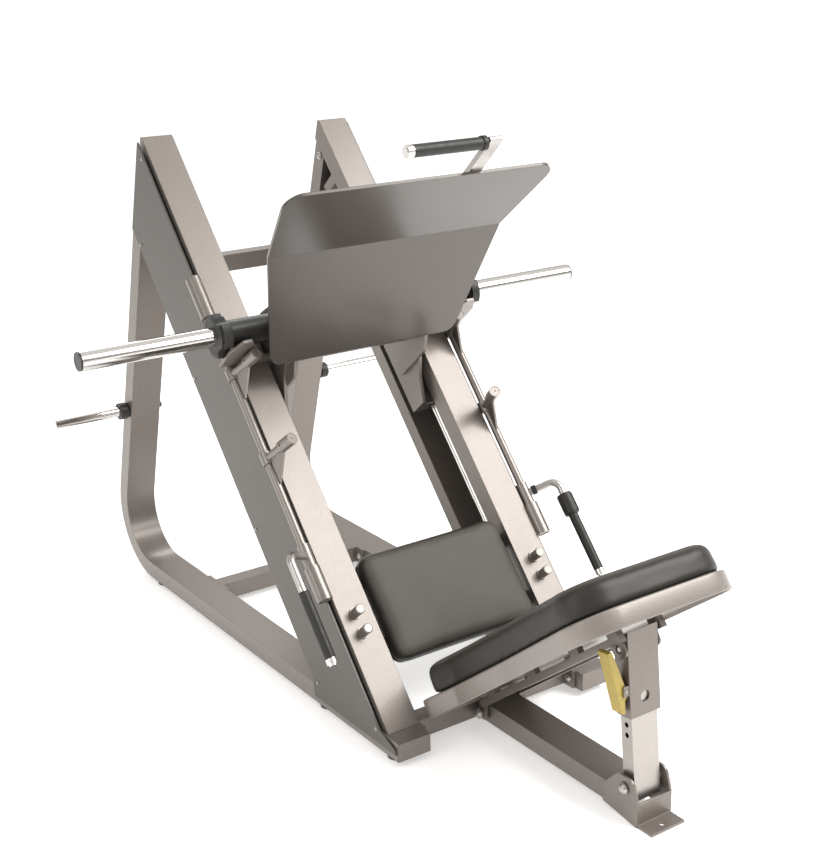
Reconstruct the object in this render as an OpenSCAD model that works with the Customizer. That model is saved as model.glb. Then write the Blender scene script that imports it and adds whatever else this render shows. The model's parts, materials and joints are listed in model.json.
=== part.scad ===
// Plate-loaded leg press: a carriage with a footplate slides on two inclined rails above a
// seat, with swing-away stops, storage horns and a backrest on a telescopic prop.
// Millimetres, +Z up, X across the machine, +Y from the head of the backrest to the rear.

/* [Frame] */
// Slope of the rails above the floor, in degrees
rail_slope = 49; // [47:0.5:50]
// Height of the top of the frame
frame_h = 1385; // [1365:5:1400]
// Clear width between the two rails
rail_gap = 476; // [470:2:490]
// Width of a rail's front face
rail_w = 92; // [88:2:96]
// Depth of a rail's front tube
rail_d = 55; // [50:1:60]
// Distance from a rail's front face to the back of its channel
channel_d = 235; // [220:5:240]
// Thickness of the rectangular frame tubes
tube_t = 50; // [46:1:54]
// Width of the rectangular frame tubes
tube_w = 94; // [90:1:96]
// Wall of the frame tubes
tube_wall = 3; // [2:0.5:4]
// Forward lean of the rear uprights, in degrees
upright_lean = 16.8; // [15:0.1:18]
// Outer radius of the bend between a base tube and its upright
bend_r = 195; // [180:5:210]
// Height of the feet
foot_h = 17; // [15:1:20]
// Thickness of the side plates
plate_t = 5; // [4:0.5:5]

/* [Guides and stops] */
// Radius of the two guide rods
guide_r = 12.5; // [12:0.5:13]
// Radius of the two stop rods
stop_r = 11; // [10:0.5:11]
// Distance up the slope to the upper stop arms
upper_stop_t = 1091; // [1080:1:1095]
// Distance up the slope to the lower stop arms
lower_stop_t = 846; // [820:1:860]
// Running clearance round every turning or sliding rod
run_gap = 0.05; // [0.02:0.01:0.1]
// Seam left between welded plates and tubes
seam = 0.05; // [0.02:0.01:0.1]

/* [Carriage] */
// Radius of the weight horns
horn_r = 25; // [24:0.5:25]
// Distance between the two ends of the weight horns
horn_span = 1542; // [1480:2:1600]
// Distance up the slope to the axis of the weight horns
horn_t = 1167; // [1160:1:1175]
// Height of that axis above the rail faces
horn_n = 88; // [86:1:92]
// Thickness of the footplate
footplate_t = 8; // [6:0.5:10]

/* [Seat and backrest] */
// Slope of the backrest, in degrees
recline = 37.6; // [36:0.2:39]
// Length of the backrest tray
back_len = 763; // [740:1:770]
// Depth of the backrest tray
tray_h = 47; // [42:1:50]
// Thickness of the backrest cushion
pad_h = 77; // [70:1:80]
// Backward lean of the telescopic prop, in degrees
prop_lean = 5.7; // [5:0.1:6]
// Distance between neighbouring holes in the prop
hole_pitch = 25; // [24:0.5:26]

/* [Storage] */
// Radius of the storage horns
storage_r = 15; // [14:0.5:16]
// Height of the storage horns above the floor
storage_z = 545; // [520:5:570]
// Distance between the outer ends of the two storage horns
storage_span = 1142; // [1100:2:1160]

/* [Hidden] */
$fn = 48;

// Colours
silver = [0.72, 0.70, 0.68];
chrome = [0.86, 0.86, 0.87];
black = [0.13, 0.13, 0.12];
vinyl = [0.24, 0.24, 0.22];

// Rails, in x from the middle
rail_in = rail_gap / 2;
rail_out = rail_in + rail_w;
plate_in = rail_out + 7;
plate_out = plate_in + plate_t;
tube_in = plate_in - tube_w;
web_t = 5;
back_tube_d = 45;

// Side outlines are drawn from the point where the rail faces meet the floor
top_y = frame_h / tan(rail_slope) + 9;
lean_k = top_y * cos(upright_lean) + frame_h * sin(upright_lean);
bend_y = (lean_k - bend_r - (foot_h + bend_r) * sin(upright_lean)) / cos(upright_lean);
bend_z = foot_h + bend_r;
base_front = 10;
base_top = foot_h + tube_t;
bracket_front = -558;
foot_y = -(bend_y + bend_r + bracket_front) / 2;

// Cross tubes
cross_d = 50;
rear_cross_y = 1101;
front_cross_y = 95;
upper_cross_z = 985;
flange_l = 124;
flange_t = 8;

// Centre beam and prop
beam_half = 47;
beam_front = -430;
ear_half = 53;
pivot_y = 45;
pivot_z = foot_h + tube_t / 2;
prop_y = -470;
prop_z = 83;
pivot_r = 8;
prop_half_w = 38.5;
prop_half_d = 17.5;
prop_top = 243;
sleeve_half_w = 44.5;
sleeve_half_d = 22.5;
sleeve_wall = 3.5;
sleeve_bottom = 170;
lock_l = 198;
clevis_l = 330;
clevis_r = 6;
clevis_gap = 3.2;
lever_pivot = [-54, 238];
tab_x = [50, 58];

// Tray and cushion: y, z of the tray's lower edge, then its half widths
tray_y = 51;
tray_z = 74;
tray_w = [233, 193, 195, 240];
tray_wall = 3;
tray_recess = 12;
head_r = 103;

// Guide rods and stop rods, as x and n in the slope frame
guide_x = 272;
guide_n = -105;
guide_t0 = 200;
guide_t1 = 1700;
stop_x = plate_out + 8.5;
stop_n = 0.7;
arm_angle = -15;
arm_len = 114;
handle_r = 10.5;
handle_angle = 53.6;
handle_reach = 95;
handle_t = 572;
grip_end_t = 300;
collar_r = stop_r + 4.5;
bearing_r = 20.4;
upper_bearing = [1262, 1384];
lower_bearing = [450, 540];
plate_n = -13.5;
notch_n = -17.9;

// Carriage
cheek_x = [212, 222];
cheek_t = [925, 1235];
catch_t = 1108;
catch_bar_t = 1126;
bottom_edge = [1055, 94, 288];
bend_edge = [1202, 395, 353];
top_edge = [1213, 647, 401];
grip_n = top_edge[1] + 104;

// ---- Helpers ----

// y of the line at offset n from the rail faces, at height z
function slope_y(n, z) = z / tan(rail_slope) - n / sin(rail_slope);
// Point where the line at offset n meets the upright's line at depth e from its back face
function meet(n, e) =
    let (z = (lean_k - e + n * cos(upright_lean) / sin(rail_slope))
            / (cos(upright_lean) / tan(rail_slope) + sin(upright_lean)))
    [slope_y(n, z), z];

function unit(v) = v / norm(v);
// Rounds the corner at b, between a and c, to radius r
function corner(a, b, c, r, steps = 8) =
    r == 0 ? [b] :
    let (u = unit(a - b), w = unit(c - b), half = acos(u * w) / 2,
         o = b + unit(u + w) * r / sin(half), s = b + u * r / tan(half), e = b + w * r / tan(half),
         a0 = atan2(s[1] - o[1], s[0] - o[0]), a1 = atan2(e[1] - o[1], e[0] - o[0]),
         turn = (a1 - a0 + 540) % 360 - 180)
    [for (i = [0:steps]) o + r * [cos(a0 + turn * i / steps), sin(a0 + turn * i / steps)]];
// Outline through points given as [x, y, corner radius]
function rounded(p) =
    [for (i = [0:len(p) - 1])
        let (a = p[(i + len(p) - 1) % len(p)], b = p[i], c = p[(i + 1) % len(p)])
        for (q = corner([a[0], a[1]], [b[0], b[1]], [c[0], c[1]], b[2])) q];

module both_sides() {
    children();
    mirror([1, 0, 0]) children();
}

// Stretches a side outline, drawn as y and z, from x0 to x1
module across(x0, x1) {
    translate([x0, foot_y, 0]) rotate([90, 0, 90]) linear_extrude(x1 - x0) children();
}

// Slope frame: x across, y up the slope, z out of the rail faces
module on_slope() {
    translate([0, foot_y, 0]) rotate([rail_slope, 0, 0]) children();
}

// Backrest frame: y from its lower edge to its head, z out of the cushion
module on_back() {
    translate([0, foot_y + tray_y, tray_z]) rotate([recline, 0, 180]) children();
}

// Prop frame: z along the prop, from its lower pivot
module on_prop() {
    translate([0, foot_y + prop_y, prop_z]) rotate([-prop_lean, 0, 0]) children();
}

// Stretches an outline drawn as y and z of the current frame from x0 to x1
module along_x(x0, x1) {
    translate([x0, 0, 0]) rotate([90, 0, 90]) linear_extrude(x1 - x0) children();
}

module bar_x(r, x0, x1) {
    translate([x0, 0, 0]) rotate([0, 90, 0]) cylinder(r = r, h = x1 - x0);
}

module bar_t(r, t0, t1) {
    translate([0, t0, 0]) rotate([-90, 0, 0]) cylinder(r = r, h = t1 - t0);
}

module block(x0, x1, y0, y1, z0, z1) {
    translate([x0, y0, z0]) cube([x1 - x0, y1 - y0, z1 - z0]);
}

// Domed bolt head with a washer, standing on z = 0
module dome_head(r) {
    cylinder(r = r, h = 2.5);
    translate([0, 0, 2.5]) intersection() {
        translate([0, 0, -r * 0.5]) sphere(r = r * 1.06);
        cylinder(r = r, h = r);
    }
}

// ---- Frame ----

module side_outline(e) {
    end = e > 0 ? 2 : 0;
    translate([base_front - end, foot_h + e]) square([bend_y - base_front + end, tube_t - 2 * e]);
    translate([bend_y, bend_z]) intersection() {
        difference() {
            circle(bend_r - e, $fn = 96);
            circle(bend_r - tube_t + e, $fn = 96);
        }
        polygon([[0, 0], [0, -2 * bend_r], [2 * bend_r, -2 * bend_r],
            [2 * bend_r, 2 * bend_r * tan(upright_lean)]]);
    }
    out = [cos(upright_lean), sin(upright_lean)];
    polygon([[bend_y, bend_z] + out * (bend_r - e), meet(-rail_d + end, e),
        meet(-rail_d + end, tube_t - e), [bend_y, bend_z] + out * (bend_r - tube_t + e)]);
}

module storage_axis() {
    y = (lean_k - tube_t / 2 - storage_z * sin(upright_lean)) / cos(upright_lean);
    translate([0, foot_y + y, storage_z]) children();
}

module side_tube() {
    color(silver) difference() {
        across(tube_in, plate_in) side_outline(0);
        across(tube_in + tube_wall, plate_in - tube_wall) side_outline(tube_wall);
        storage_axis() bar_x(8.02, tube_in - 1, plate_in + 1);
    }
}
module right_side_tube() { side_tube(); }
module left_side_tube() { mirror([1, 0, 0]) side_tube(); }

module tube_end_caps() {
    color(silver) both_sides() translate([0, foot_y, 0])
        block(tube_in + 1, plate_in - 1, base_front - 4, base_front, foot_h + 1, base_top - 1);
}

module rail() {
    color(silver) difference() {
        across(rail_in, rail_out)
            polygon([[slope_y(0, base_top), base_top], [slope_y(0, frame_h), frame_h],
                [top_y, frame_h], meet(-rail_d, 0), [slope_y(-rail_d, base_top), base_top]]);
        across(rail_in + tube_wall, rail_out - tube_wall)
            polygon([[slope_y(-tube_wall, base_top - 1), base_top - 1],
                meet(-tube_wall, 4 * tube_wall), meet(tube_wall - rail_d, tube_wall),
                [slope_y(tube_wall - rail_d, base_top - 1), base_top - 1]]);
    }
}
module right_rail() { rail(); }
module left_rail() { mirror([1, 0, 0]) rail(); }

// Outline between two offsets behind the rail faces, from the base tube to the upright
module channel_outline(n0, n1, end = 0) {
    z = base_top + seam + end;
    e = tube_t + seam + end;
    polygon([[slope_y(n0, z), z], meet(n0, e), meet(n1, e), [slope_y(n1, z), z]]);
}

module rail_channel() {
    color(silver) {
        across(rail_out - web_t, rail_out)
            channel_outline(-rail_d - seam, -channel_d);
        difference() {
            across(rail_in, rail_out - web_t)
                channel_outline(back_tube_d - channel_d, -channel_d);
            across(rail_in + tube_wall, rail_out - web_t)
                channel_outline(back_tube_d - channel_d - tube_wall, tube_wall - channel_d, 4);
        }
    }
}
module right_rail_channel() { rail_channel(); }
module left_rail_channel() { mirror([1, 0, 0]) rail_channel(); }

module side_plate() {
    corner_z = 1105;
    rear = meet(-channel_d, 14);
    color(silver) difference() {
        across(plate_in, plate_out)
            polygon([[12, 36], [16, 50], [slope_y(plate_n, base_top + 8), base_top + 8],
                meet(plate_n, 6), [rear[0] + 8, corner_z + 18],
                [slope_y(-channel_d, corner_z - 8), corner_z - 8],
                [slope_y(-channel_d, 112), 112], [388, 96], [383, 36]]);
        on_slope() for (t = [lower_bearing, upper_bearing])
            block(plate_in - 1, plate_out + 1, t[0] - 1, t[1] + 1, notch_n, 0);
    }
}
module right_side_plate() { side_plate(); }
module left_side_plate() { mirror([1, 0, 0]) side_plate(); }

module plate_screws() {
    spots = [[1781, -24], [1630, -222], [1198, -222], [738, -222], [300, -222], [116, -24]];
    color(silver) both_sides() on_slope() for (p = spots)
        translate([plate_out, p[0], p[1]]) rotate([0, 90, 0]) {
            cylinder(r = 5, h = 1.5);
            translate([0, 0, 1.5]) cylinder(r = 3.4, h = 1.2);
        }
}

// Square tube across the frame with a bolted flange at each end
module cross_tube(y, z0) {
    translate([0, foot_y + y, z0]) {
        difference() {
            block(-tube_in + flange_t, tube_in - flange_t, -cross_d / 2, cross_d / 2, 0, tube_t);
            block(-tube_in - 1, tube_in + 1, tube_wall - cross_d / 2, cross_d / 2 - tube_wall,
                tube_wall, tube_t - tube_wall);
        }
        both_sides() block(tube_in - flange_t, tube_in, -flange_l / 2, flange_l / 2, 0, tube_t);
    }
}
module rear_cross_tube() { color(silver) cross_tube(rear_cross_y, foot_h); }
module front_cross_tube() { color(silver) cross_tube(front_cross_y, foot_h); }

module upper_cross_tube() {
    y = (lean_k - tube_t / 2 - upper_cross_z * sin(upright_lean)) / cos(upright_lean);
    color(silver) translate([0, foot_y + y, upper_cross_z]) difference() {
        block(-tube_in, tube_in, -cross_d / 2, cross_d / 2, -tube_t / 2, tube_t / 2);
        block(-tube_in - 1, tube_in + 1, tube_wall - cross_d / 2, cross_d / 2 - tube_wall,
            tube_wall - tube_t / 2, tube_t / 2 - tube_wall);
    }
}

module flange_bolts() {
    color(chrome) both_sides() {
        for (y = [rear_cross_y, front_cross_y], side = [-1, 1])
            translate([tube_in - flange_t, foot_y + y + side * 43, foot_h + tube_t / 2])
                rotate([0, -90, 0]) dome_head(11);
        top = meet(-rail_d - 22, 28);
        translate([tube_in, foot_y + top[0], top[1]]) rotate([0, -90, 0]) dome_head(12);
    }
}

module centre_beam() {
    back = front_cross_y - cross_d / 2;
    color(silver) translate([0, foot_y, 0]) difference() {
        block(-beam_half, beam_half, beam_front, back, foot_h, base_top);
        block(tube_wall - beam_half, beam_half - tube_wall, beam_front + tube_wall, back + 1,
            foot_h + tube_wall, base_top - tube_wall);
        translate([0, pivot_y, pivot_z]) bar_x(pivot_r + 0.02, -beam_half - 1, beam_half + 1);
    }
}

module floor_bracket() {
    foot_half = 50;
    color(silver) difference() {
        union() {
            translate([0, foot_y, 0]) {
                block(-foot_half, foot_half, bracket_front, -506, 0, 6);
                block(-beam_half, beam_half, -512, -506, 0, 58);
            }
            both_sides() across(beam_half, ear_half)
                polygon(rounded([[-512, 0, 0], [-400, foot_h, 0], [-400, 62, 0],
                    [-446, 112, 22], [-496, 112, 22], [-512, 60, 0]]));
        }
        translate([0, foot_y - 538, -1]) cylinder(r = 7, h = 8);
        translate([0, foot_y + prop_y, prop_z]) bar_x(pivot_r + 0.02, -ear_half - 1, ear_half + 1);
    }
}

module floor_feet() {
    color(black) both_sides() for (y = [62, 372, 1334])
        translate([tube_in + tube_w / 2 + 12, foot_y + y, 0]) {
            cylinder(r = 26, h = 10);
            cylinder(r = 22, h = foot_h);
        }
}

module guide_rods() {
    color(chrome) both_sides() on_slope()
        translate([guide_x, 0, guide_n]) bar_t(guide_r, guide_t0, guide_t1);
}

module guide_rod_mounts() {
    color(silver) both_sides() on_slope() difference() {
        for (t = [225, 1660])
            block(guide_x - 24, guide_x + 24, t, t + 30, guide_n - 25, -rail_d - seam);
        translate([guide_x, 0, guide_n]) bar_t(guide_r + 0.02, guide_t0, guide_t1);
    }
}

module storage_horns() {
    color(chrome) both_sides() storage_axis() {
        bar_x(storage_r, plate_in + 30, storage_span / 2);
        bar_x(storage_r - 1, plate_in + 0.5, plate_in + 30);
        bar_x(8, tube_in - 16, plate_in + 0.5);
        difference() {
            translate([tube_in - 13, 0, 0]) rotate([0, 90, 0]) cylinder(r = 14, h = 13, $fn = 6);
            bar_x(8.02, tube_in - 14, tube_in + 1);
        }
    }
}

module storage_collars() {
    color(black) both_sides() storage_axis() difference() {
        union() {
            bar_x(22, plate_in, plate_in + 10);
            bar_x(25, plate_in + 8, plate_in + 30);
        }
        bar_x(storage_r - 0.98, plate_in - 1, plate_in + 31);
    }
}

module seat_outline(half_w, t0, t1, r) {
    polygon(rounded([[-half_w, t0, r], [half_w, t0, r], [half_w, t1, r], [-half_w, t1, r]]));
}

module seat_pad() {
    color(vinyl) on_slope() translate([0, 0, -34.7]) linear_extrude(50)
        seat_outline(rail_in - 11, 240, 540, 38);
}

module seat_board() {
    color(black) on_slope() translate([0, 0, -43]) linear_extrude(8)
        seat_outline(rail_in - 20, 250, 530, 30);
}

module seat_bars() {
    color(silver) on_slope() for (t = [285, 455])
        block(-rail_in, rail_in, t, t + 40, -rail_d, -43);
}

module rail_pegs() {
    color(silver) both_sides() on_slope() for (t = [346, 398])
        translate([rail_in + rail_w / 2 + 3, t, 0]) {
            cylinder(r = 15.5, h = 4);
            cylinder(r = 12.5, h = 33);
            translate([0, 0, 33]) cylinder(r1 = 12.5, r2 = 10.5, h = 2);
        }
}

module on_stop() {
    on_slope() translate([stop_x, 0, stop_n]) children();
}

module stop_bearings() {
    color(silver) both_sides() {
        on_stop() {
            difference() {
                bar_t(bearing_r, upper_bearing[0], upper_bearing[1]);
                bar_t(stop_r + run_gap, upper_bearing[0] - 1, upper_bearing[1] - 6);
            }
            difference() {
                bar_t(bearing_r, lower_bearing[0], lower_bearing[1]);
                bar_t(stop_r + run_gap, lower_bearing[0] + 6, lower_bearing[1] + 1);
                bar_t(bearing_r - 5, lower_bearing[0] - 1, lower_bearing[0] + 2);
            }
        }
        for (t = [lower_bearing, upper_bearing])
            on_slope() block(plate_out, stop_x, t[0] + 10, t[1] - 10, stop_n - 26, stop_n - 15);
    }
}

// Pivot bolt with its spacers, given as [from, to] outside the middle of the machine
module pivot_bolt(y, z, half, spacers) {
    translate([0, foot_y + y, z]) {
        bar_x(pivot_r, -half, half);
        both_sides() {
            for (s = spacers)
                bar_x(12, s[0], s[1]);
            translate([half, 0, 0]) rotate([0, 90, 0]) dome_head(14);
        }
    }
}

module pivot_bolts() {
    color(chrome) {
        pivot_bolt(pivot_y, pivot_z, 66, [[beam_half, tab_x[0] - 0.2], [tab_x[1] + 0.2, 66]]);
        pivot_bolt(prop_y, prop_z, ear_half + 3,
            [[prop_half_w + 0.3, beam_half], [ear_half, ear_half + 3]]);
    }
}

// ---- Swing-away stops ----

module stop_rod() {
    color(chrome) {
        on_stop() bar_t(stop_r, 457, 1377);
        on_stop() bar_t(collar_r, 541, 602);
        on_stop() bar_t(stop_r + 3, 1246, 1260);
    }
}
module right_stop_rod() { stop_rod(); }
module left_stop_rod() { mirror([1, 0, 0]) stop_rod(); }

// Arm with a round head, braced by a gusset below it, on a hub round the stop rod
module stop_arms() {
    hub_half = 16;
    head_l = 48;
    color(silver) on_stop() for (t = [lower_stop_t, upper_stop_t]) difference() {
        rotate([0, arm_angle, 0]) {
            translate([0, t, 0]) cylinder(r = 11, h = arm_len);
            translate([0, t, arm_len - head_l]) cylinder(r = 16, h = head_l);
            bar_t(stop_r + 5, t - hub_half, t + hub_half);
            along_x(-3, 3) polygon([[t, 14], [t, 72], [t - 13, 72], [t - 76, 14]]);
        }
        bar_t(stop_r + 0.02, t - 90, t + 30);
        rotate([0, arm_angle, 0]) {
            translate([0, t, arm_len - 1]) cylinder(r = 12.5, h = 2);
            translate([0, t, arm_len - 5]) cylinder(r = 2, h = 6);
            translate([0, t, arm_len - 36]) bar_x(2.5, 10, 20);
        }
    }
}
module right_stop_arms() { stop_arms(); }
module left_stop_arms() { mirror([1, 0, 0]) stop_arms(); }

// Bar that leaves the stop rod sideways and bends down beside the rail
module stop_handle() {
    bend = 26;
    color(chrome) on_stop() rotate([0, handle_angle, 0]) {
        difference() {
            translate([0, handle_t, 0]) cylinder(r = handle_r, h = handle_reach - bend);
            bar_t(collar_r + 0.02, handle_t - 20, handle_t + 20);
        }
        translate([0, handle_t - bend, handle_reach - bend]) rotate([0, -90, 0])
            rotate_extrude(angle = 90) translate([bend, 0]) circle(handle_r);
        translate([0, 0, handle_reach]) bar_t(handle_r, grip_end_t - 8, handle_t - bend);
    }
}
module right_stop_handle() { stop_handle(); }
module left_stop_handle() { mirror([1, 0, 0]) stop_handle(); }

module on_handle() {
    on_stop() rotate([0, handle_angle, 0]) translate([0, 0, handle_reach]) children();
}

module left_stop_grip() {
    color(black) mirror([1, 0, 0]) on_handle() difference() {
        bar_t(14, grip_end_t, 474);
        bar_t(handle_r + 0.02, grip_end_t - 1, 475);
    }
}

// The right grip has a thick rubber collar at its upper end
module right_stop_grip() {
    color(black) {
        on_handle() difference() {
            union() {
                bar_t(13.4, grip_end_t, 474);
                bar_t(20, 466, 527);
                bar_t(22, 470, 523);
            }
            bar_t(handle_r + 0.02, grip_end_t - 1, 528);
        }
        on_stop() rotate([0, handle_angle, 0]) translate([0, handle_t, 20]) difference() {
            cylinder(r = 13.5, h = 13);
            translate([0, 0, -1]) cylinder(r = handle_r + 0.02, h = 15);
        }
    }
}

module grip_cap() {
    difference() {
        union() {
            bar_t(13.5, grip_end_t - 15, grip_end_t - 0.1);
            bar_t(10, grip_end_t - 19, grip_end_t - 14);
        }
        bar_t(handle_r + 0.02, grip_end_t - 8, grip_end_t + 1);
    }
}
module left_grip_cap() { color(chrome) mirror([1, 0, 0]) on_handle() grip_cap(); }
module right_grip_cap() { color(chrome) on_handle() grip_cap(); }

// ---- Carriage ----

module on_horn() {
    on_slope() translate([0, horn_t, horn_n]) children();
}

module carriage_tube() {
    color(black) on_horn() difference() {
        bar_x(36, -372, 372);
        bar_x(horn_r - 0.98, -373, 373);
    }
}

module weight_horn() {
    color(chrome) on_horn() difference() {
        union() {
            bar_x(horn_r - 1, 230, 407);
            bar_x(horn_r, 406, horn_span / 2 - 5);
        }
        bar_x(horn_r - 4, horn_span / 2 - 30, horn_span / 2 - 4);
    }
}
module right_weight_horn() { weight_horn(); }
module left_weight_horn() { mirror([1, 0, 0]) weight_horn(); }

module horn_caps() {
    color(black) both_sides() on_horn() {
        bar_x(horn_r - 4.1, horn_span / 2 - 20, horn_span / 2 - 5);
        bar_x(horn_r - 1, horn_span / 2 - 5, horn_span / 2);
    }
}

module horn_collars() {
    color(black) both_sides() on_horn() difference() {
        union() {
            bar_x(57, 378, 402);
            bar_x(48, 372, 406);
        }
        bar_x(horn_r - 0.98, 371, 407);
        for (a = [90:120:330])
            rotate([a, 0, 0]) translate([0, 0, 78]) bar_x(38, 371, 407);
    }
}

// Place up the slope of the back of the footplate's two panels, at height n above the rails
function panel_back(a, b, n) =
    let (k = (b[0] - a[0]) / (b[1] - a[1])) a[0] + (n - a[1]) * k + footplate_t * sqrt(1 + k * k);
function lower_back(n) = panel_back(bottom_edge, bend_edge, n);
function upper_back(n) = panel_back(bend_edge, top_edge, n);

// Bent side section of the footplate, as distance up the slope and height above the rails
module footplate_section() {
    low = [bottom_edge[0], bottom_edge[1]];
    mid = [bend_edge[0], bend_edge[1]];
    high = [top_edge[0], top_edge[1]];
    n1 = unit([mid[1] - low[1], low[0] - mid[0]]);
    n2 = unit([high[1] - mid[1], mid[0] - high[0]]);
    nm = unit(n1 + n2) / (unit(n1 + n2) * n1);
    polygon([low, mid, high, high + n2 * footplate_t, mid + nm * footplate_t,
        low + n1 * footplate_t]);
}

module footplate() {
    color(silver) on_slope() intersection() {
        along_x(-420, 420) footplate_section();
        translate([0, 1300, 0]) rotate([90, 0, 0]) linear_extrude(300)
            polygon(rounded([
                [-bottom_edge[2], bottom_edge[1], 36], [bottom_edge[2], bottom_edge[1], 36],
                [bend_edge[2], bend_edge[1], 90], [top_edge[2], top_edge[1], 46],
                [-top_edge[2], top_edge[1], 46], [-bend_edge[2], bend_edge[1], 90]]));
    }
}

module footplate_ribs() {
    color(silver) both_sides() on_slope() difference() {
        along_x(cheek_x[0] - 10, cheek_x[0]) {
            polygon([[1030, -95], [1060, -95], [1068, 60], [1072, 95], [lower_back(91) + 0.5, 90],
                [1030, 46]]);
            polygon([[1030, 20], [lower_back(102), 102], [lower_back(384), 384], [1216, 384],
                [1205, 110], [1150, 40]]);
        }
        translate([0, horn_t, horn_n]) bar_x(36.1, 190, 215);
    }
}

module carriage_cheeks() {
    bearing_n = [guide_n - 27, guide_n + 27];
    color(silver) both_sides() on_slope() difference() {
        union() {
            along_x(cheek_x[0], cheek_x[1])
                polygon([[cheek_t[0], -132], [cheek_t[0], -70], [990, -36], [1050, 20],
                    [1110, 118], [1170, 136], [1220, 118], [cheek_t[1], 40],
                    [cheek_t[1], -132]]);
            for (t = [cheek_t[0], cheek_t[1] - 80])
                block(cheek_x[1], guide_x + 27, t, t + 80, bearing_n[0], bearing_n[1]);
        }
        translate([guide_x, 0, guide_n]) bar_t(19.02, cheek_t[0] - 1, cheek_t[1] + 1);
        translate([0, horn_t, horn_n]) bar_x(36.1, 200, 240);
    }
}

module catch_plates() {
    color(silver) both_sides() on_slope()
        translate([0, catch_t + 8, 0]) rotate([90, 0, 0]) linear_extrude(8)
            polygon([[cheek_x[1], -22], [234, -22], [236, 7], [322, 7], [326, 24], [388, 24],
                [386, 96], [362, 146], [338, 146], [268, 48], [cheek_x[1], 30]]);
}

module catch_bar() {
    color(silver) on_slope()
        block(-cheek_x[0], cheek_x[0], catch_t - 6, catch_bar_t, -24, 0);
}

module linear_bushings() {
    color(chrome) both_sides() on_slope() translate([guide_x, 0, guide_n])
        for (t = [cheek_t[0] + 5, cheek_t[1] - 75]) difference() {
            bar_t(19, t, t + 70);
            bar_t(guide_r + run_gap, t - 1, t + 71);
        }
}

module rod_seals() {
    color(black) both_sides() on_slope() translate([guide_x, 0, guide_n])
        for (t = [cheek_t[0] - 3, cheek_t[1] - 5]) difference() {
            bar_t(18.9, t, t + 8);
            bar_t(guide_r + 0.08, t - 1, t + 9);
        }
}

// Axis of the top handle's grip
module on_grip() {
    on_slope() translate([0, upper_back(grip_n) + 7, grip_n]) children();
}

module top_handle_arm() {
    t0 = upper_back(500);
    t1 = upper_back(grip_n + 17);
    color(chrome) {
        on_slope() along_x(118, 156)
            polygon(rounded([[t0, 500, 0], [t0 + 14, 500, 3], [t1 + 14, grip_n + 17, 6],
                [t1, grip_n + 17, 6]]));
        on_grip() bar_x(9, -108, 120);
    }
}

module top_handle_grip() {
    color(black) on_grip() difference() {
        union() {
            bar_x(15.5, -101, 108);
            bar_x(18, 100, 112);
        }
        bar_x(9.02, -109, 113);
    }
}

module top_handle_cap() {
    color(chrome) on_grip() difference() {
        union() {
            bar_x(15.5, -117, -101.1);
            bar_x(10, -120, -110);
        }
        bar_x(9.02, -109, -100);
    }
}

// ---- Backrest ----

// Plan of the backrest: wide at its lower edge, drawn in to a waist, round at the head
module back_outline(inset, y0) {
    w = [for (v = tray_w) v - inset];
    r = head_r - inset;
    polygon(rounded([[-w[0], y0, 24], [w[0], y0, 24], [w[1], 120, 60], [w[2], 350, 400],
        [w[3], back_len - inset, r], [-w[3], back_len - inset, r], [-w[2], 350, 400],
        [-w[1], 120, 60]]));
}

module back_pad() {
    base = tray_h + 0.3;
    color(vinyl) on_back() intersection() {
        translate([0, 0, base]) linear_extrude(pad_h) back_outline(5, 30);
        along_x(-300, 300)
            polygon([[28, base - 1], [28, base + 18], [84, base + pad_h], [84, base + pad_h + 1],
                [back_len, base + pad_h + 1], [back_len, base - 1]]);
    }
}

module back_tray() {
    color(silver) on_back() difference() {
        linear_extrude(tray_h) back_outline(0, 0);
        translate([0, 0, -1]) linear_extrude(tray_recess + 1) back_outline(tray_wall, tray_wall);
        translate([0, 0, tray_recess + tray_wall])
            linear_extrude(tray_h - tray_recess - 2 * tray_wall)
                back_outline(tray_wall, tray_wall);
    }
}

module back_frame() {
    bar = [52, 69];
    clevis = [592.6, -30];
    color(silver) on_back() both_sides() {
        block(bar[0], bar[1], 14, 632, -20, -2);
        for (s = [60, 250, 440, 594])
            block(bar[0], bar[1], s, s + 36, -2, tray_recess);
        difference() {
            along_x(46.2, bar[0])
                polygon(rounded([[clevis[0] - 26, -2, 0], [clevis[0] + 26, -2, 0],
                    [clevis[0] + 20, -52, 14], [clevis[0] - 20, -52, 14]]));
            translate([0, clevis[0], clevis[1]]) bar_x(clevis_r + clevis_gap, 40, 60);
        }
    }
    color(silver) both_sides() difference() {
        across(tab_x[0], tab_x[1])
            polygon(rounded([[pivot_y - 16, 84, 0], [pivot_y - 21, pivot_z - 4, 0],
                [pivot_y - 12, pivot_z - 17, 8], [pivot_y + 12, pivot_z - 17, 8],
                [pivot_y + 18, pivot_z, 6], [pivot_y + 1, 76, 0]]));
        translate([0, foot_y + pivot_y, pivot_z]) bar_x(pivot_r + run_gap, 40, 70);
    }
}

// ---- Telescopic prop ----

module prop_tube() {
    color(chrome) on_prop() difference() {
        block(-prop_half_w, prop_half_w, -prop_half_d, prop_half_d, -34, prop_top);
        block(3 - prop_half_w, prop_half_w - 3, 3 - prop_half_d, prop_half_d - 3, -35,
            prop_top + 1);
        bar_x(pivot_r + run_gap, -prop_half_w - 1, prop_half_w + 1);
        for (i = [-3:1])
            translate([0, 0, lock_l + i * hole_pitch]) bar_x(6, -prop_half_w - 1, prop_half_w + 1);
    }
}

// Distance along the prop at which its sleeve ends below the tray
function sleeve_top(y) = 361 - y * tan(recline - prop_lean);

// Axis of the release lever's pin, in the prop frame
module on_lever() {
    translate([lever_pivot[0], 0, lever_pivot[1]]) rotate([90, 0, 0]) children();
}

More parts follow.
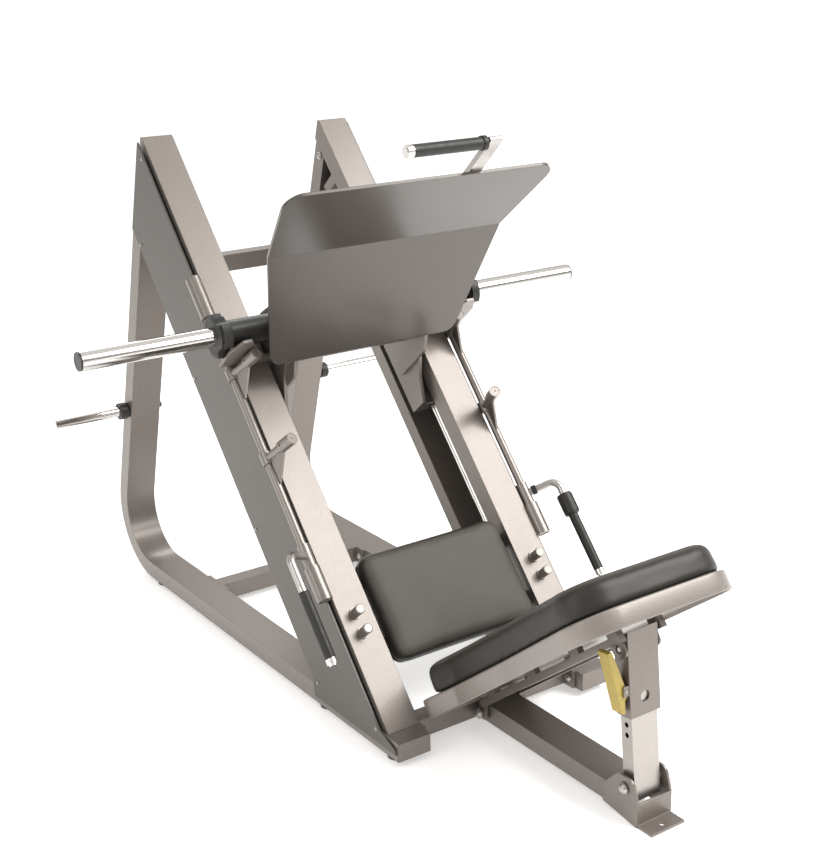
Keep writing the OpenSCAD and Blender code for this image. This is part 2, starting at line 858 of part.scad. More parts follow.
module prop_sleeve() {
    in_w = sleeve_half_w - sleeve_wall;
    in_d = sleeve_half_d - sleeve_wall;
    color(silver) on_prop() difference() {
        union() {
            along_x(-sleeve_half_w, sleeve_half_w)
                polygon([[-sleeve_half_d, sleeve_bottom], [sleeve_half_d, sleeve_bottom],
                    [sleeve_half_d, sleeve_top(sleeve_half_d)],
                    [-sleeve_half_d, sleeve_top(-sleeve_half_d)]]);
            for (y = [16.4, -20.4])
                block(lever_pivot[0] - 6, -sleeve_half_w, y, y + 4, 226, 250);
        }
        block(-in_w, in_w, -in_d, in_d, sleeve_bottom - 1, 400);
        translate([0, 0, clevis_l]) bar_x(clevis_r + 0.02, -50, 50);
        translate([0, 0, lock_l]) bar_x(5.55, -50, -30);
        translate([0, -15, 213]) rotate([90, 0, 0]) cylinder(r = 13, h = 10);
        on_lever() translate([0, 0, -30]) cylinder(r = 3.02, h = 60);
    }
}

module sleeve_pins() {
    color(chrome) on_prop() {
        translate([0, 0, clevis_l]) bar_x(clevis_r, -51, 51);
        on_lever() translate([0, 0, -22]) cylinder(r = 3, h = 44);
    }
}

module release_lever() {
    color("gold") on_prop() difference() {
        translate([0, 16, 0]) rotate([90, 0, 0]) linear_extrude(32)
            polygon(rounded([[-54, 184, 2], [-54, 216, 1], [-48, 222, 0], [-48, 238, 3],
                [-86, 340, 3], [-98, 338, 3], [-64, 186, 4]]));
        on_lever() translate([0, 0, -20]) cylinder(r = 3 + run_gap, h = 40);
    }
}

module lock_pin() {
    color(chrome) on_prop() translate([0, 0, lock_l]) {
        bar_x(5.5, -48, -prop_half_w - 0.5);
        bar_x(8, -52.4, -48);
    }
}

left_side_tube();
right_side_tube();
tube_end_caps();
left_rail();
right_rail();
left_rail_channel();
right_rail_channel();
left_side_plate();
right_side_plate();
plate_screws();
upper_cross_tube();
rear_cross_tube();
front_cross_tube();
flange_bolts();
centre_beam();
floor_bracket();
floor_feet();
guide_rods();
guide_rod_mounts();
storage_horns();
storage_collars();
seat_pad();
seat_board();
seat_bars();
rail_pegs();
stop_bearings();
pivot_bolts();
left_stop_rod();
left_stop_arms();
left_stop_handle();
left_stop_grip();
left_grip_cap();
right_stop_rod();
right_stop_arms();
right_stop_handle();
right_stop_grip();
right_grip_cap();
carriage_tube();
left_weight_horn();
right_weight_horn();
horn_caps();
horn_collars();
footplate();
footplate_ribs();
carriage_cheeks();
catch_plates();
catch_bar();
linear_bushings();
rod_seals();
top_handle_arm();
top_handle_grip();
top_handle_cap();
back_pad();
back_tray();
back_frame();
prop_tube();
prop_sleeve();
sleeve_pins();
release_lever();
lock_pin();
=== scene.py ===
"""Leg press machine: finishes, padded cushions and moulded tray around the CAD frame."""
import json
import math

import bpy
import numpy as np
from mathutils import Matrix, Vector

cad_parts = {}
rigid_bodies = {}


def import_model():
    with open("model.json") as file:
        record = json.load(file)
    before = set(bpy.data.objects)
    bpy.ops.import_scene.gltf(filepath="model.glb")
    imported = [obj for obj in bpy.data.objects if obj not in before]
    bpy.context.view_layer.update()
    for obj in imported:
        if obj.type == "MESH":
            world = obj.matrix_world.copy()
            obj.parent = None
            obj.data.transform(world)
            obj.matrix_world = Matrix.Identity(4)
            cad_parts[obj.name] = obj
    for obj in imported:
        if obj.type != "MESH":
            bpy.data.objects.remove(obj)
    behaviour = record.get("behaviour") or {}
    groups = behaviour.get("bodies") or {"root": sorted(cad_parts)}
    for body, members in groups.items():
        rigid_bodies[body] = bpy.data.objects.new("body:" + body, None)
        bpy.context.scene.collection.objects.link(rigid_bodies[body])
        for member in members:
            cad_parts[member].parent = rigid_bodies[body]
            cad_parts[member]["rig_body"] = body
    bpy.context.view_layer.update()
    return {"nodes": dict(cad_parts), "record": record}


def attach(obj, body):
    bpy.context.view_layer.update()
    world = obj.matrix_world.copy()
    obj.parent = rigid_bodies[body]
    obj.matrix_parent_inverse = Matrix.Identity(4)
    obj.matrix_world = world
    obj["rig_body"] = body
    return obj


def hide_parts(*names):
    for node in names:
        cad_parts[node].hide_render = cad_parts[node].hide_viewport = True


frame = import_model()

MM = 0.001
NODES = frame["nodes"]
RECORD = frame["record"]
JOINTS = {j["name"]: j for j in RECORD["behaviour"]["joints"]}
SLOTS = {s["node"]: s["material_slot"] for s in RECORD["subparts"]}

# The rail faces slope as the carriage slides; the backrest leans back by its own angle.
UP_SLOPE = np.array(JOINTS["carriage_slide"]["axis"], float)
ACROSS = np.array([1.0, 0.0, 0.0])
OFF_RAILS = np.cross(ACROSS, UP_SLOPE)
RECLINE = math.radians(37.6)
UP_BACK = np.array([0.0, -math.cos(RECLINE), math.sin(RECLINE)])
OFF_BACK = np.array([0.0, math.sin(RECLINE), math.cos(RECLINE)])

# Each is a set of three directions: across a panel, up its length and off its face.
SLOPE_AXES = np.array([ACROSS, UP_SLOPE, OFF_RAILS])
BACK_AXES = np.array([-ACROSS, UP_BACK, OFF_BACK])


# ---------------------------------------------------------------- node helpers

def set_stops(ramp, stops):
    """Gives a colour ramp its (position, value) stops, each value a colour or a grey."""
    while len(ramp.elements) < len(stops):
        ramp.elements.new(0.5)
    for element, (place, value) in zip(ramp.elements, stops):
        rgb = value if hasattr(value, "__len__") else (value, value, value)
        element.position = place
        element.color = (*rgb, 1.0)


def scaled(color, factor):
    """The colour, made lighter or darker by the factor."""
    return tuple(c * factor for c in color)


class Shader:
    """A material's node tree with short calls to add and join nodes."""

    def __init__(self, name):
        self.material = bpy.data.materials.new(name)
        self.material.use_nodes = True
        self.tree = self.material.node_tree
        self.tree.nodes.clear()
        output = self.add("ShaderNodeOutputMaterial")
        self.body = self.add("ShaderNodeBsdfPrincipled")
        self.join(self.body.outputs["BSDF"], output.inputs["Surface"])
        self.place = self.add("ShaderNodeTexCoord").outputs["Object"]

    def add(self, kind, **values):
        """Adds a node; values set its properties or, failing that, its sockets by name."""
        node = self.tree.nodes.new(kind)
        for key, value in values.items():
            if hasattr(node, key):
                setattr(node, key, value)
            else:
                node.inputs[key.replace("_", " ")].default_value = value
        return node

    def join(self, source, target):
        """Links an output socket to an input socket."""
        self.tree.links.new(source, target)

    def set(self, **values):
        """Sets sockets of the principled shader, named with underscores for spaces."""
        for key, value in values.items():
            self.body.inputs[key.replace("_", " ")].default_value = value

    def noise(self, scale, detail=3.0, rough=0.5, stretch=(1, 1, 1)):
        """Noise of that many cells a metre on object coordinates, from 0 to 1."""
        mapping = self.add("ShaderNodeMapping")
        mapping.inputs["Scale"].default_value = stretch
        self.join(self.place, mapping.inputs["Vector"])
        node = self.add("ShaderNodeTexNoise", Scale=scale, Detail=detail, Roughness=rough)
        self.join(mapping.outputs["Vector"], node.inputs["Vector"])
        return node.outputs["Fac"]

    def cell_edges(self, scale):
        """Distance to the nearest edge between scattered cells, that many a metre."""
        node = self.add("ShaderNodeTexVoronoi", Scale=scale, feature="DISTANCE_TO_EDGE")
        self.join(self.place, node.inputs["Vector"])
        return node.outputs["Distance"]

    def ramp(self, source, stops):
        """Colours or greys between (position, value) stops."""
        node = self.add("ShaderNodeValToRGB")
        set_stops(node.color_ramp, stops)
        self.join(source, node.inputs["Fac"])
        return node.outputs["Color"]

    def mix(self, a, b, share, blend="MIX"):
        """Mixes colours a and b, each a socket or a colour, by share, a socket or a number."""
        node = self.add("ShaderNodeMix", data_type="RGBA", blend_type=blend)
        # A colour mix has its two colours at inputs 6 and 7, and its share at input 0.
        for socket, value in ((node.inputs[6], a), (node.inputs[7], b), (node.inputs[0], share)):
            if hasattr(value, "links"):
                self.join(value, socket)
            elif hasattr(value, "__len__"):
                socket.default_value = (*value, 1.0)
            else:
                socket.default_value = value
        return node.outputs[2]

    def bump(self, height, strength, distance, under=None):
        """Bump from a height socket, laid on the normal that comes out of under."""
        node = self.add("ShaderNodeBump", Strength=strength, Distance=distance)
        self.join(height, node.inputs["Height"])
        if under is not None:
            self.join(under, node.inputs["Normal"])
        return node.outputs["Normal"]

    def soft_edge(self, radius):
        """Normal that rounds sharp edges over to the radius."""
        return self.add("ShaderNodeBevel", Radius=radius, samples=6).outputs["Normal"]

    def finish(self, color=None, roughness=None, normal=None):
        """Joins the sockets given to the principled shader, and returns the material."""
        for socket, source in (("Base Color", color), ("Roughness", roughness), ("Normal", normal)):
            if source is not None:
                self.join(source, self.body.inputs[socket])
        return self.material


# ---------------------------------------------------------------- finishes

def metallic_paint(name, color, metallic=0.55, rough=0.4, coat=0.35, edge=2.5 * MM):
    """Silver-grey paint: cloudy base, fine bright and dark flake, orange peel, clear coat."""
    s = Shader(name)
    cloud = s.ramp(s.noise(5.0, 4.0), [(0.3, 0.98), (0.7, 1.02)])
    flake = s.ramp(s.noise(520.0, 2.0, 0.7), [(0.3, 0.82), (0.5, 1.0), (0.7, 1.2)])
    base = s.mix(color, cloud, 1.0, "MULTIPLY")
    base = s.mix(base, flake, 1.0, "MULTIPLY")
    s.set(Metallic=metallic, Coat_Weight=coat, Coat_Roughness=0.16, Coat_IOR=1.5)
    peel = s.bump(s.noise(260.0, 2.0), 0.03, 0.3 * MM, s.soft_edge(edge))
    grain = s.ramp(s.noise(40.0, 5.0), [(0.3, rough - 0.01), (0.7, rough + 0.02)])
    return s.finish(base, grain, peel)


def polished_chrome(name, color, rough=0.07):
    """Hard chrome: faint turning marks and a few dull smudges."""
    s = Shader(name)
    s.set(Base_Color=(*color, 1.0), Metallic=1.0)
    smudge = s.ramp(s.noise(14.0, 6.0, 0.6), [(0.35, rough * 0.7), (0.75, rough * 2.2)])
    marks = s.bump(s.noise(90.0, 3.0, stretch=(14, 1, 1)), 0.03, 0.1 * MM, s.soft_edge(1 * MM))
    return s.finish(None, smudge, marks)


def plated_steel(name, color, rough=0.28):
    """Zinc-plated steel: mottled shine with fine scratches."""
    s = Shader(name)
    tone = s.ramp(s.noise(45.0, 5.0, 0.65), [(0.3, scaled(color, 0.94)), (0.7, color)])
    s.set(Metallic=0.9)
    gloss = s.ramp(s.noise(120.0, 4.0), [(0.3, rough * 0.95), (0.7, rough * 1.08)])
    scratch = s.bump(s.noise(300.0, 2.0, stretch=(1, 1, 0.1)), 0.08, 0.2 * MM, s.soft_edge(1 * MM))
    return s.finish(tone, gloss, scratch)


def moulded_rubber(name, color, rough=0.42):
    """Black rubber: fine pebbled skin with a grey bloom."""
    s = Shader(name)
    bloom = s.ramp(s.noise(18.0, 5.0), [(0.35, color), (0.75, scaled(color, 1.3))])
    s.set(Specular_IOR_Level=0.35)
    gloss = s.ramp(s.noise(60.0, 3.0), [(0.3, rough - 0.06), (0.7, rough + 0.08)])
    pebble = s.bump(s.noise(1100.0, 2.0), 0.22, 0.25 * MM, s.soft_edge(1.5 * MM))
    return s.finish(bloom, gloss, pebble)


def black_enamel(name, color):
    """Satin black paint of the carriage tube, with light dust on it."""
    s = Shader(name)
    dust = s.ramp(s.noise(30.0, 6.0), [(0.4, color), (0.8, scaled(color, 1.5))])
    s.set(Coat_Weight=0.12, Coat_Roughness=0.25)
    gloss = s.ramp(s.noise(80.0, 3.0), [(0.3, 0.44), (0.7, 0.5)])
    peel = s.bump(s.noise(500.0, 2.0), 0.12, 0.2 * MM, s.soft_edge(1.5 * MM))
    return s.finish(dust, gloss, peel)


def yellow_enamel(name, color):
    """Glossy yellow of the release lever, in slightly uneven coats."""
    s = Shader(name)
    tone = s.ramp(s.noise(60.0, 4.0), [(0.3, scaled(color, 0.9)), (0.7, color)])
    s.set(Coat_Weight=0.6, Coat_Roughness=0.1)
    gloss = s.ramp(s.noise(90.0, 3.0), [(0.3, 0.3), (0.7, 0.4)])
    peel = s.bump(s.noise(350.0, 2.0), 0.05, 0.2 * MM, s.soft_edge(1.2 * MM))
    return s.finish(tone, gloss, peel)


def grained_vinyl(name, face_color, side_color):
    """Upholstery vinyl: grey printed grain on the face, plain black on the side band.

    The vertex attribute "band" is 1 on the face and 0 on the band.
    """
    s = Shader(name)
    band = s.add("ShaderNodeAttribute", attribute_name="band").outputs["Fac"]
    fleck = s.ramp(s.noise(900.0, 3.0, 0.75), [(0.3, 0.72), (0.5, 1.0), (0.7, 1.25)])
    cloud = s.ramp(s.noise(9.0, 4.0), [(0.3, 0.93), (0.7, 1.06)])
    face = s.mix(s.mix(face_color, fleck, 1.0, "MULTIPLY"), cloud, 1.0, "MULTIPLY")
    side = s.mix(side_color, cloud, 1.0, "MULTIPLY")
    color = s.mix(side, face, band)
    gloss = s.ramp(band, [(0.0, 0.36), (1.0, 0.5)])
    s.set(Specular_IOR_Level=0.32)
    grain = s.ramp(s.cell_edges(420.0), [(0.0, 0.0), (0.16, 1.0)])
    pores = s.bump(grain, 0.28, 0.25 * MM)
    waves = s.bump(s.noise(35.0, 3.0), 0.12, 1.0 * MM, pores)
    return s.finish(color, gloss, waves)


def paint_nodes():
    """Gives every CAD node the finish of its slot, and returns the finishes by slot."""
    finishes = {
        "frame_paint": metallic_paint("frame_paint", (0.195, 0.170, 0.151)),
        "panel_paint": metallic_paint("panel_paint", (0.078, 0.067, 0.057)),
        "footplate_paint": metallic_paint("footplate_paint", (0.088, 0.076, 0.066),
                                          metallic=0.5, rough=0.32, coat=0.45),
        "tray_paint": metallic_paint("tray_paint", (0.25, 0.221, 0.199), metallic=0.4, rough=0.45),
        "stop_paint": metallic_paint("stop_paint", (0.215, 0.19, 0.17),
                                     metallic=0.6, rough=0.32, coat=0.5, edge=1.2 * MM),
        "chrome": polished_chrome("chrome", (0.70, 0.675, 0.65)),
        "handle_metal": polished_chrome("handle_metal", (0.44, 0.415, 0.395), rough=0.3),
        "zinc": plated_steel("zinc", (0.42, 0.395, 0.375)),
        "prop_steel": plated_steel("prop_steel", (0.42, 0.39, 0.365), rough=0.32),
        "black_rubber": moulded_rubber("black_rubber", (0.022, 0.021, 0.018)),
        "grip_rubber": moulded_rubber("grip_rubber", (0.019, 0.018, 0.015)),
        "black_plastic": moulded_rubber("black_plastic", (0.03, 0.03, 0.03), rough=0.34),
        "black_paint": black_enamel("black_paint", (0.024, 0.0225, 0.019)),
        "lever_yellow": yellow_enamel("lever_yellow", (0.38, 0.27, 0.012)),
        "vinyl": grained_vinyl("vinyl", (0.068, 0.061, 0.051), (0.026, 0.0235, 0.019)),
    }
    for name, obj in NODES.items():
        obj.data.materials.clear()
        obj.data.materials.append(finishes[SLOTS[name]])
    return finishes


# ---------------------------------------------------------------- mesh helpers

def add_object(name, data):
    """Makes an object of the data and puts it in the scene."""
    obj = bpy.data.objects.new(name, data)
    bpy.context.scene.collection.objects.link(obj)
    return obj


def mesh_object(name, verts, faces, material, smooth=True):
    """Makes a mesh object of the points and faces, in the material."""
    mesh = bpy.data.meshes.new(name)
    mesh.from_pydata(np.asarray(verts).tolist(), [], [list(map(int, f)) for f in faces])
    mesh.update()
    mesh.polygons.foreach_set("use_smooth", [smooth] * len(mesh.polygons))
    mesh.materials.append(material)
    return add_object(name, mesh)


def coordinates(obj):
    """The mesh's points, one a row, in metres."""
    co = np.empty(len(obj.data.vertices) * 3, np.float32)
    obj.data.vertices.foreach_get("co", co)
    return co.reshape(-1, 3).astype(float)


def set_coordinates(obj, co):
    """Moves the mesh's points to the rows of co."""
    obj.data.vertices.foreach_set("co", np.ascontiguousarray(co, np.float32).ravel())
    obj.data.update()


def apply_modifiers(obj):
    """Replaces the object's mesh by what its modifiers make of it."""
    graph = bpy.context.evaluated_depsgraph_get()
    mesh = bpy.data.meshes.new_from_object(obj.evaluated_get(graph), depsgraph=graph)
    old = obj.data
    obj.modifiers.clear()
    obj.data = mesh
    bpy.data.meshes.remove(old)


def node_extent(node, axes):
    """Lowest and highest corner of a CAD node along the rows of axes."""
    local = coordinates(NODES[node]) @ axes.T
    return local.min(0), local.max(0)


def arc_outline(corners, steps=10):
    """Closed outline through corners given as (x, y, radius), each rounded by an arc.

    At a corner with unit directions u and w to its neighbours, the arc's centre lies on
    their bisector at radius / sin(half angle), and its ends at radius / tan(half angle).
    """
    corners = np.asarray(corners, float)
    points = []
    for i, (x, y, r) in enumerate(corners):
        here = np.array([x, y])
        u = corners[i - 1, :2] - here
        w = corners[(i + 1) % len(corners), :2] - here
        u, w = u / np.linalg.norm(u), w / np.linalg.norm(w)
        half = math.acos(np.clip(u @ w, -1, 1)) / 2
        mid = (u + w) / np.linalg.norm(u + w)
        centre = here + mid * r / math.sin(half)
        start, end = here + u * r / math.tan(half), here + w * r / math.tan(half)
        a0 = math.atan2(*(start - centre)[::-1])
        a1 = math.atan2(*(end - centre)[::-1])
        turn = (a1 - a0 + math.pi) % (2 * math.pi) - math.pi
        a = a0 + turn * np.linspace(0, 1, steps + 1)
        points.append(centre + r * np.stack([np.cos(a), np.sin(a)], 1))
    return np.concatenate(points)


def even_outline(outline, count):
    """The same closed outline with points at even distances round it."""
    loop = np.vstack([outline, outline[:1]])
    run = np.concatenate([[0], np.cumsum(np.linalg.norm(np.diff(loop, axis=0), axis=1))])
    at = np.linspace(0, run[-1], count, endpoint=False)
    return np.stack([np.interp(at, run, loop[:, 0]), np.interp(at, run, loop[:, 1])], 1)


def inward(outline):
    """Unit normals that point into a closed outline run anticlockwise."""
    along = np.roll(outline, -1, 0) - np.roll(outline, 1, 0)
    normal = np.stack([-along[:, 1], along[:, 0]], 1)
    return normal / np.linalg.norm(normal, axis=1)[:, None]


def rolled_edge(radius, top, steps=6):
    """Rings of a quarter-round edge that rises from an upright side to the height top."""
    return [(radius * (1 - math.cos(a)), top - radius * (1 - math.sin(a)), 0)
            for a in np.linspace(0, math.pi / 2, steps + 1)]


def ring_shell(outline, profile):
    """Closed shell of rings given as (inset, height, pull).

    A ring is the outline moved inwards by inset, then drawn towards the outline's middle by
    the share pull. The first and last rings close on a point at the middle.
    """
    normal = inward(outline)
    count = len(outline)
    middle = outline.mean(0)
    rings = []
    for inset, height, pull in profile:
        ring = outline + normal * inset
        ring = ring + (middle - ring) * pull
        rings.append(np.column_stack([ring, np.full(count, height)]))
    ends = [[*middle, profile[0][1]], [*middle, profile[-1][1]]]
    verts = np.concatenate([*rings, ends])
    low, high = len(verts) - 2, len(verts) - 1
    i = np.arange(count)
    j = np.roll(i, -1)
    last = (len(profile) - 1) * count
    faces = []
    for first in range(0, last, count):
        above = first + count
        faces += np.stack([first + i, first + j, above + j, above + i], 1).tolist()
    faces += np.stack([np.full(count, low), j, i], 1).tolist()
    faces += np.stack([np.full(count, high), last + i, last + j], 1).tolist()
    return verts, faces


# ---------------------------------------------------------------- cushions

# Size of the even mesh that a cushion's cover is swollen on
COVER_GRID = 5.5 * MM
# Settings of the cover as cloth, and the number of frames for which it is blown up
CLOTH = {
    "use_pressure": True,
    "uniform_pressure_force": 4.0,
    "quality": 5,
    "tension_stiffness": 12.0,
    "compression_stiffness": 12.0,
    "shear_stiffness": 6.0,
    "bending_stiffness": 0.6,
}
CLOTH_FRAMES = 20
# How far a point of the cover may move, and how far above the base it may move that much
SWELL_CAP = 5 * MM
SWELL_HOLD = 35 * MM
# Smoothing that takes the ripples out of the swollen cover
SMOOTH_FACTOR = 0.5
SMOOTH_PASSES = 24
# Rounded foot of a cushion, as insets and heights over its base
CUSHION_FOOT = ((10 * MM, 0), (3 * MM, 1 * MM), (1 * MM, 5 * MM))
# Where the band begins to turn into the face, down from the top, and the height over which it
# does so, both in shares of the rolled edge's radius
BAND_BELOW_TOP = 0.30
BAND_BLEND = 0.22
# Shares of the way from the rim to the middle at which a cushion's face has a ring of points
FACE_RINGS = np.linspace(0.08, 0.92, 10)


def swell(obj, axes, base):
    """Blows the mesh up as cloth, then lets each point move at most SWELL_CAP.

    The move is scaled by how far the point stands off base along the last row of axes, from
    nothing at the base to the whole at SWELL_HOLD above it, so that the underside stays flat.
    """
    remesh = obj.modifiers.new("even", "REMESH")
    remesh.mode = "VOXEL"
    remesh.voxel_size = COVER_GRID
    apply_modifiers(obj)
    start = coordinates(obj)
    cloth = obj.modifiers.new("swell", "CLOTH")
    for key, value in CLOTH.items():
        setattr(cloth.settings, key, value)
    cloth.settings.effector_weights.gravity = 0.0
    cloth.point_cache.frame_start = 1
    cloth.point_cache.frame_end = CLOTH_FRAMES
    for step in range(1, CLOTH_FRAMES + 1):
        bpy.context.scene.frame_set(step)
    apply_modifiers(obj)
    bpy.context.scene.frame_set(1)
    move = coordinates(obj) - start
    length = np.linalg.norm(move, axis=1)[:, None]
    move *= np.minimum(1.0, SWELL_CAP / np.maximum(length, 1e-9))
    rise = np.clip((start @ axes[2] - base) / SWELL_HOLD, 0, 1)[:, None]
    set_coordinates(obj, start + move * rise)


def mark_band(obj, axes, edge_r, top):
    """Writes the attribute "band": 0 on the cushion's sides, 1 on its face, smooth between."""
    height = (coordinates(obj) @ axes.T)[:, 2]
    face = np.clip((height - (top - edge_r * BAND_BELOW_TOP)) / (edge_r * BAND_BLEND), 0, 1)
    face = face * face * (3 - 2 * face)
    attribute = obj.data.attributes.new("band", "FLOAT", "POINT")
    attribute.data.foreach_set("value", face.astype(np.float32))


def cushion(name, node, outline, axes, edge_r, crown, material):
    """Padded cushion in the place of a CAD node, from an outline in the frame of axes.

    It has a rolled edge of radius edge_r, a flat back and a face that crowns towards the
    middle. The face's height over the edge is crown * (1 - (1 - s)^2), where s runs from 0
    at the rim to 1 at the middle.
    """
    lo, hi = node_extent(node, axes)
    base, top = lo[2], hi[2] - crown
    profile = [(inset, base + height, 0) for inset, height in CUSHION_FOOT]
    profile += rolled_edge(edge_r, top)
    profile += [(edge_r, top + crown * (1 - (1 - s) ** 2), s) for s in FACE_RINGS]
    verts, faces = ring_shell(outline, profile)
    obj = mesh_object(name, verts @ axes, faces, material)
    swell(obj, axes, base)
    smooth = obj.modifiers.new("smooth", "SMOOTH")
    smooth.factor, smooth.iterations = SMOOTH_FACTOR, SMOOTH_PASSES
    apply_modifiers(obj)
    mark_band(obj, axes, edge_r, top)
    obj.data.polygons.foreach_set("use_smooth", [True] * len(obj.data.polygons))
    subdivide = obj.modifiers.new("subdivide", "SUBSURF")
    subdivide.levels = subdivide.render_levels = 1
    body = NODES[node]["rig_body"]
    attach(obj, body)
    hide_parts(node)


# Margin that the seat's cushion keeps to the CAD pad's outline, and its corners' radius
SEAT_MARGIN = 3 * MM
SEAT_CORNER = 36 * MM


def make_seat(finishes):
    """Seat cushion: a rounded rectangle within the CAD pad's outline."""
    lo, hi = node_extent("seat_pad", SLOPE_AXES)
    side = hi[0] - SEAT_MARGIN
    low, high = lo[1] + SEAT_MARGIN, hi[1] - SEAT_MARGIN
    corners = ((-side, low), (side, low), (side, high), (-side, high))
    outline = arc_outline([(x, y, SEAT_CORNER) for x, y in corners])
    cushion("seat_cushion", "seat_pad", even_outline(outline, count=160), SLOPE_AXES,
            edge_r=17 * MM, crown=6 * MM, material=finishes["vinyl"])


# Half widths of the tray, and radii of its outline's corners, at its lower edge, at its
# waist, past the waist and at its head
TRAY_WIDTHS = (233 * MM, 193 * MM, 195 * MM, 240 * MM)
TRAY_RADII = (24 * MM, 60 * MM, 400 * MM, 103 * MM)
# Heights of the two corners of the waist over the tray's lower edge
WAIST_LOW, WAIST_HIGH = 120 * MM, 350 * MM
# Underside of the tray from its recess out to the rolled rim, as insets and heights in
# millimetres
TRAY_UNDERSIDE = ((30, 13), (14, 13), (9, 11.5), (6.5, 8), (5.5, 3), (4.6, 0.9), (3.2, 0), (2.0, 0.2),
                  (0.7, 1.2), (0, 3))
# Radius of the tray's upper edge, and the flat rim that has its own ring inside it
TRAY_EDGE = 6 * MM
TRAY_RIM = 4 * MM
# What shows of the tray round the back's cushion, and below it
BACK_MARGIN = 8 * MM
BACK_LOW_GAP = 40 * MM


def back_outline(inset, low_gap):
    """The backrest's outline, moved in by inset, with its lower edge low_gap up the tray."""
    lo, hi = node_extent("back_tray", BACK_AXES)
    widths = [w - inset for w in TRAY_WIDTHS]
    heights = (lo[1] + low_gap, lo[1] + WAIST_LOW, lo[1] + WAIST_HIGH, hi[1] - inset)
    radii = (*TRAY_RADII[:-1], TRAY_RADII[-1] - inset)
    right = list(zip(widths, heights, radii))
    left = [(-x, y, radius) for x, y, radius in reversed(right)]
    return arc_outline(right + left)


def make_back(finishes):
    """Back cushion: it follows the tray's outline, a margin in."""
    outline = back_outline(BACK_MARGIN, BACK_LOW_GAP)
    cushion("back_cushion", "back_pad", even_outline(outline, count=260), BACK_AXES,
            edge_r=24 * MM, crown=8 * MM, material=finishes["vinyl"])


def make_tray(finishes):
    """Moulded tray: a rolled lower rim round a recess, upright sides and a rounded top edge."""
    outline = even_outline(back_outline(0, 0), count=360)
    lo, hi = node_extent("back_tray", BACK_AXES)
    bottom, top = lo[2], hi[2]
    profile = [(inset * MM, bottom + height * MM, 0) for inset, height in TRAY_UNDERSIDE]
    profile += rolled_edge(TRAY_EDGE, top)
    profile += [(TRAY_EDGE + TRAY_RIM, top, 0), (TRAY_EDGE, top, 0.5)]
    verts, faces = ring_shell(outline, profile)
    obj = mesh_object("moulded_tray", verts @ BACK_AXES, faces, finishes["tray_paint"])
    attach(obj, NODES["back_tray"]["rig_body"])
    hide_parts("back_tray")


# ---------------------------------------------------------------- camera and studio

# Turn to the machine's left, height angle and tilt of the camera, in degrees
CAMERA_ANGLES = (-34.969, 18.593, -1.095)
# The camera's place in metres: across from the origin, along y from the backrest's hinge, and
# up from the floor
CAMERA_PLACE = (-2.0256, -2.5650, 1.8781)
# Focal length and sensor width in millimetres, and how far the camera sees in metres
CAMERA_LENS = 60.71
CAMERA_SENSOR = 36.0
CAMERA_REACH = 200.0

# Half the floor's width in metres, and the colour and strength of its own glow
FLOOR_HALF = 60.0
FLOOR_GLOW = (1.0, 0.995, 0.985)
FLOOR_GLOW_STRENGTH = 0.42
# Brightness of the dome by the sine of the height: white at the horizon, then a dark belt,
# then pale overhead
DOME_BANDS = ((0.0, 1.0), (0.075, 1.0), (0.12, 0.7), (0.2, 0.2), (0.36, 0.62), (0.75, 0.9))
DOME_TINT = (1.0, 0.985, 0.965)
# Soft lights as name, place and size in metres, and power in watts, all turned to LIGHT_AIM
LIGHT_AIM = (0.0, 0.1, 0.6)
LIGHTS = (
    ("key", (2.6, -2.6, 4.3), (4.0, 3.2), 300),
    ("left_fill", (-3.8, -0.6, 2.2), (1.6, 2.4), 30),
    ("rear_rim", (1.0, 3.6, 3.4), (3.0, 1.2), 60),
)


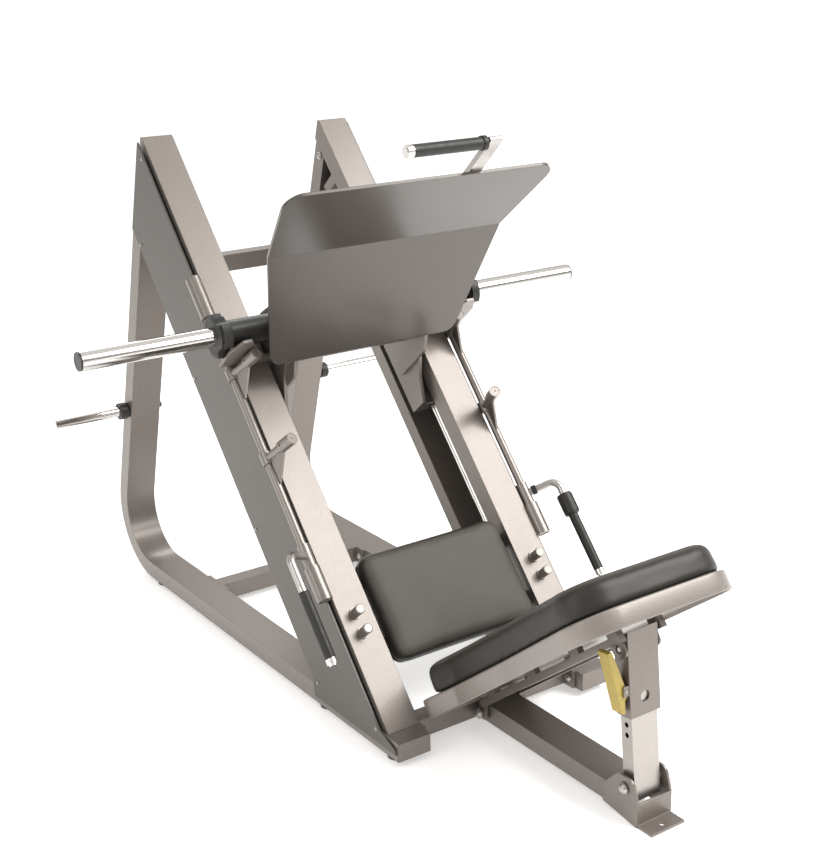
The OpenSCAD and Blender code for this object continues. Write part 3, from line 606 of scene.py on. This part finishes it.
def add_camera():
    """Camera that looks down on the machine's left front corner."""
    azimuth, elevation, tilt = (math.radians(a) for a in CAMERA_ANGLES)
    back = Vector((math.sin(azimuth) * math.cos(elevation),
                   -math.cos(azimuth) * math.cos(elevation), math.sin(elevation)))
    right = (-back).cross(Vector((0, 0, 1))).normalized()
    up = right.cross(-back)
    x = math.cos(tilt) * right + math.sin(tilt) * up
    y = -math.sin(tilt) * right + math.cos(tilt) * up
    place = Matrix((x, y, back)).transposed().to_4x4()
    across, from_hinge, height = CAMERA_PLACE
    place.translation = Vector((across, from_hinge + JOINTS["backrest_tilt"]["pos_m"][1], height))
    data = bpy.data.cameras.new("camera")
    data.sensor_width = CAMERA_SENSOR
    data.lens = CAMERA_LENS
    data.clip_end = CAMERA_REACH
    camera = add_object("camera", data)
    camera.matrix_world = place
    bpy.context.scene.camera = camera


def add_floor():
    """Pale floor that glows a little, so that it runs out to white."""
    s = Shader("studio_floor")
    s.set(Roughness=0.9, Specular_IOR_Level=0.1)
    s.set(Emission_Color=(*FLOOR_GLOW, 1.0), Emission_Strength=FLOOR_GLOW_STRENGTH)
    shade = s.ramp(s.noise(0.8, 2.0), [(0.3, 0.93), (0.7, 0.95)])
    corners = [(x * FLOOR_HALF, y * FLOOR_HALF, 0) for x, y in ((-1, -1), (1, -1), (1, 1), (-1, 1))]
    floor = mesh_object("floor", corners, [(0, 1, 2, 3)], s.finish(shade), smooth=False)


def add_dome():
    """Soft dome, lit in bands by height."""
    world = bpy.data.worlds.new("dome")
    world.use_nodes = True
    bpy.context.scene.world = world
    tree = world.node_tree
    glow = tree.nodes["Background"]
    glow.inputs["Strength"].default_value = 1.0
    place = tree.nodes.new("ShaderNodeTexCoord")
    split = tree.nodes.new("ShaderNodeSeparateXYZ")
    bands = tree.nodes.new("ShaderNodeValToRGB")
    set_stops(bands.color_ramp, [(at, scaled(DOME_TINT, value)) for at, value in DOME_BANDS])
    tree.links.new(place.outputs["Generated"], split.inputs["Vector"])
    tree.links.new(split.outputs["Z"], bands.inputs["Fac"])
    tree.links.new(bands.outputs["Color"], glow.inputs["Color"])


def add_light(name, place, size, power):
    """Soft rectangular light at place, turned to LIGHT_AIM."""
    data = bpy.data.lights.new(name, "AREA")
    data.shape = "RECTANGLE"
    data.size, data.size_y = size
    data.energy = power
    lamp = add_object(name, data)
    lamp.location = place
    lamp.rotation_euler = (Vector(LIGHT_AIM) - Vector(place)).to_track_quat("-Z", "Y").to_euler()


add_camera()
finishes = paint_nodes()
make_seat(finishes)
make_back(finishes)
make_tray(finishes)
add_floor()
add_dome()
for light in LIGHTS:
    add_light(*light)
bpy.context.scene.view_settings.view_transform = "Standard"
